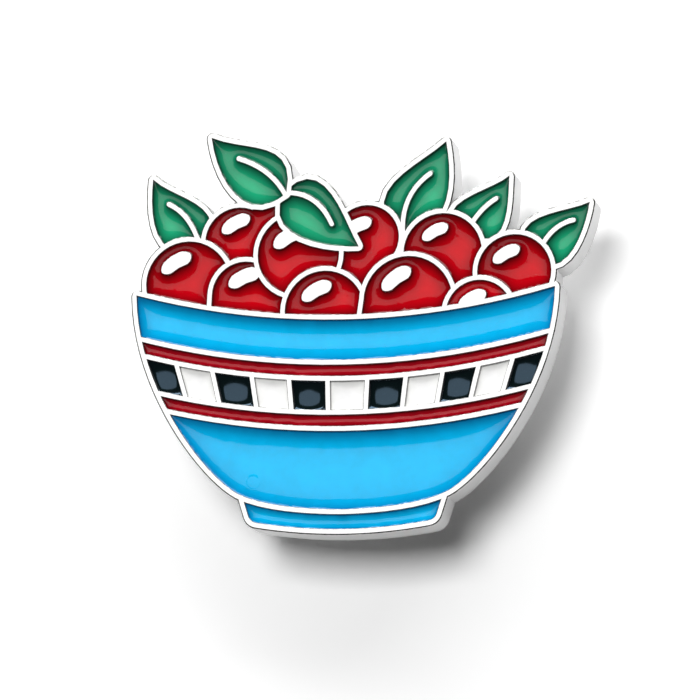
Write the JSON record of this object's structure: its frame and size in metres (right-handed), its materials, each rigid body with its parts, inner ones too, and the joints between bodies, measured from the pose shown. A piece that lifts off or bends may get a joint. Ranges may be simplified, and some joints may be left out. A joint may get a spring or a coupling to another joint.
{
  "type": "needle minder",
  "caption": "Magnetic needle minder: a metal plate filled with enamel in the shape of a bowl of cherries, with a disc magnet glued behind it and a loose disc magnet that clamps through cloth.",
  "frame": {"origin": "centre of the loose backing magnet's outer face, on the axis of both magnets and of the pictured bowl", "axes": "+Z out of the enamelled face, +Y up the picture, +X to the picture's right"},
  "size_m": [0.032, 0.0279, 0.0071],
  "materials": {
    "plated_metal": "bright nickel plating over cast metal",
    "blue_enamel": "gloss soft enamel",
    "dark_red_enamel": "gloss soft enamel",
    "black_enamel": "gloss soft enamel",
    "white_enamel": "gloss soft enamel",
    "red_enamel": "gloss soft enamel",
    "green_enamel": "gloss soft enamel",
    "glue": "set clear glue",
    "magnet": "nickel plating on a sintered magnet"
  },
  "bodies": {
    "minder": {"metal_plate": "plated_metal", "rim_band_enamel": "blue_enamel", "upper_stripe_enamel": "dark_red_enamel", "dark_tile_enamel_1": "black_enamel", "white_tile_enamel_1": "white_enamel", "dark_tile_enamel_2": "black_enamel", "white_tile_enamel_2": "white_enamel", "dark_tile_enamel_3": "black_enamel", "white_tile_enamel_3": "white_enamel", "dark_tile_enamel_4": "black_enamel", "white_tile_enamel_4": "white_enamel", "dark_tile_enamel_5": "black_enamel", "white_tile_enamel_5": "white_enamel", "dark_tile_enamel_6": "black_enamel", "lower_stripe_enamel": "dark_red_enamel", "bowl_body_enamel": "blue_enamel", "foot_enamel": "blue_enamel", "cherry_enamel_1": "red_enamel", "cherry_enamel_2": "red_enamel", "cherry_enamel_3": "red_enamel", "cherry_enamel_4": "red_enamel", "cherry_enamel_5": "red_enamel", "cherry_enamel_6": "red_enamel", "cherry_enamel_7": "red_enamel", "cherry_enamel_8": "red_enamel", "cherry_enamel_9": "red_enamel", "cherry_enamel_10": "red_enamel", "leaf_enamel_1": "green_enamel", "leaf_enamel_2": "green_enamel", "leaf_enamel_3": "green_enamel", "leaf_enamel_4": "green_enamel", "leaf_enamel_5": "green_enamel", "leaf_enamel_6": "green_enamel", "magnet_glue": "glue", "glued_magnet": "magnet"},
    "backing": {"backing_magnet": "magnet"}
  },
  "joints": [
    {"name": "backing_magnet_off", "type": "slide", "parent": "minder", "child": "backing", "axis": [0, 0, -1], "range_m": [0, 0.03]}
  ]
}
